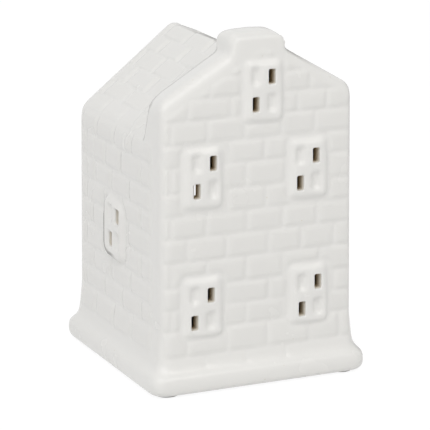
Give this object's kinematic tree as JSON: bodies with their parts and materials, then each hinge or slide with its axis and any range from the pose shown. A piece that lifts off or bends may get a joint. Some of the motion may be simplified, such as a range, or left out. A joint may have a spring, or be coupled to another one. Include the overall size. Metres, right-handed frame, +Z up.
{
  "type": "ceramic christmas house",
  "caption": "White glazed ceramic gabled town house with brick relief and pierced window panes, lit from inside by a plug-in battery light unit in its floor.",
  "frame": {"origin": "middle of the footprint, on the surface that the foot pads rest on", "axes": "+Z up, the facade with its chimney faces -Y, +X to the right as the facade is seen"},
  "size_m": [0.0876, 0.0912, 0.1324],
  "materials": {
    "glaze": "white glaze over slip-cast ceramic, soft gloss",
    "felt": "pressed felt",
    "white_plastic": "moulded white plastic, fine satin",
    "dark_plastic": "moulded black plastic",
    "silicone": "translucent silicone rubber",
    "contact_steel": "nickel-plated spring steel",
    "cell_steel": "nickel-plated steel can",
    "screw_steel": "zinc-plated steel",
    "board": "green solder mask on glass-fibre board",
    "lamp_resin": "clear epoxy lamp body",
    "frosted_plastic": "frosted diffusing plastic",
    "red_insulation": "red wire insulation",
    "black_insulation": "black wire insulation",
    "resistor_lacquer": "tan resistor lacquer"
  },
  "bodies": {
    "house": {"house_shell": "glaze", "foot_pad_front_left": "felt", "foot_pad_rear_left": "felt", "foot_pad_front_right": "felt", "foot_pad_rear_right": "felt"},
    "light_unit": {"light_base_plate": "white_plastic", "light_housing": "white_plastic", "grip_ring": "silicone", "battery_tray": "white_plastic", "flat_contact": "contact_steel", "bowed_contact": "contact_steel", "switch_body": "dark_plastic", "lamp_board": "board", "led_lamp": "lamp_resin", "lamp_resistor": "resistor_lacquer", "diffuser_dome": "frosted_plastic", "red_lead": "red_insulation", "switch_lead": "red_insulation", "black_lead": "black_insulation", "housing_screw_left": "screw_steel", "housing_screw_right": "screw_steel"},
    "battery_door": {"battery_door": "white_plastic"},
    "door_screw_left": {"door_screw_left": "screw_steel"},
    "door_screw_right": {"door_screw_right": "screw_steel"},
    "button_cells": {"button_cell_1": "cell_steel", "button_cell_2": "cell_steel", "button_cell_3": "cell_steel"},
    "switch_slider": {"switch_slider": "dark_plastic"}
  },
  "joints": [
    {"name": "light_unit_pull", "type": "slide", "parent": "house", "child": "light_unit", "axis": [0, 0, -1], "range_m": [0, 0.045]},
    {"name": "battery_door_lift", "type": "slide", "parent": "light_unit", "child": "battery_door", "axis": [0, 0, -1], "range_m": [0, 0.03]},
    {"name": "button_cells_drop", "type": "slide", "parent": "light_unit", "child": "button_cells", "axis": [0, 0, -1], "range_m": [0, 0.015]},
    {"name": "door_screw_left_turn", "type": "hinge", "parent": "battery_door", "child": "door_screw_left", "pos_m": [-0.0141, -0.005, 0.0025], "axis": [0, 0, -1], "range_deg": [0, 1440]},
    {"name": "door_screw_right_turn", "type": "hinge", "parent": "battery_door", "child": "door_screw_right", "pos_m": [0.0141, -0.005, 0.0025], "axis": [0, 0, -1], "range_deg": [0, 1440]},
    {"name": "switch_slide", "type": "slide", "parent": "light_unit", "child": "switch_slider", "axis": [1, 0, 0], "range_m": [0, 0.002]}
  ],
  "couplings": [
    {"joint": "button_cells_drop", "follows": "battery_door_lift", "ratio": 0.5}
  ]
}
